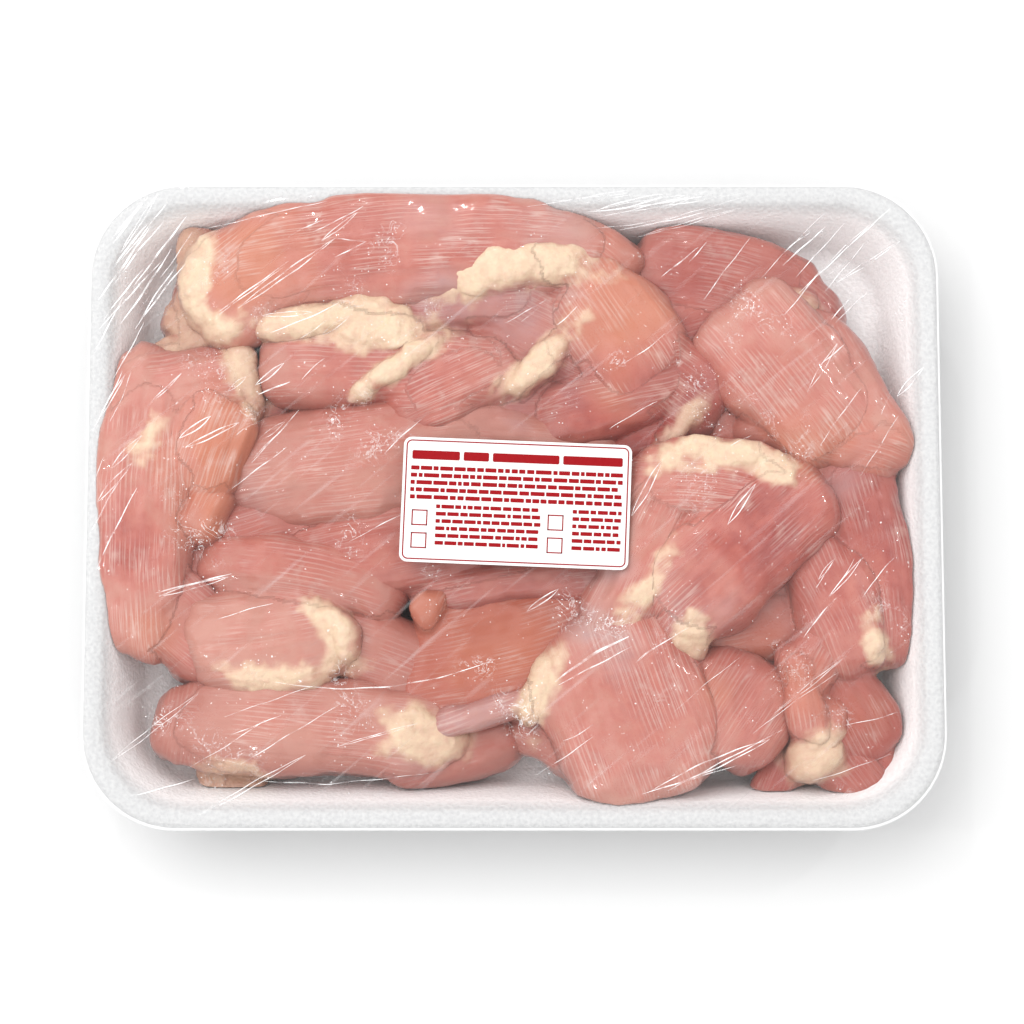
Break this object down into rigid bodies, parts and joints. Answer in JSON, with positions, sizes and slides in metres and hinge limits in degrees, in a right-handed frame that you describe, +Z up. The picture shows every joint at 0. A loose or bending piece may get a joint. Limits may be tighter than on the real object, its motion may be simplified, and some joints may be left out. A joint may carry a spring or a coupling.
{
  "type": "tray pack of raw chicken thighs",
  "caption": "Sealed retail tray pack: raw boneless skinless chicken thighs on a pad in a white foam tray, under clear stretch film with a plain label.",
  "frame": {"origin": "under the middle of the pack, on the surface that it stands on", "axes": "+X along the tray's length, +Y towards its back, +Z up out of the tray"},
  "size_m": [0.2732, 0.2072, 0.0411],
  "materials": {
    "white_foam": "white expanded polystyrene foam with a fine bead grain",
    "absorbent_pad": "blue-grey non-woven sheet, damp",
    "raw_chicken": "wet raw dark poultry meat, pale pink to deep pink, with cream fat and thin clear membrane",
    "clear_film": "thin clear stretch film, glossy and wrinkled",
    "label_paper": "satin white label paper with dark red rules"
  },
  "bodies": {
    "root": {"foam_tray": "white_foam", "absorbent_pad": "absorbent_pad", "thigh_centre_right": "raw_chicken", "thigh_right_upper": "raw_chicken", "thigh_back_centre": "raw_chicken", "thigh_front_centre": "raw_chicken", "thigh_front_left": "raw_chicken", "thigh_left": "raw_chicken", "thigh_centre_pale": "raw_chicken", "thigh_centre_red": "raw_chicken", "thigh_front_right": "raw_chicken", "thigh_back_left": "raw_chicken", "thigh_right_edge": "raw_chicken", "thigh_centre_front": "raw_chicken", "thigh_front_roll": "raw_chicken", "thigh_back_right": "raw_chicken", "film": "clear_film", "label": "label_paper"}
  },
  "joints": []
}
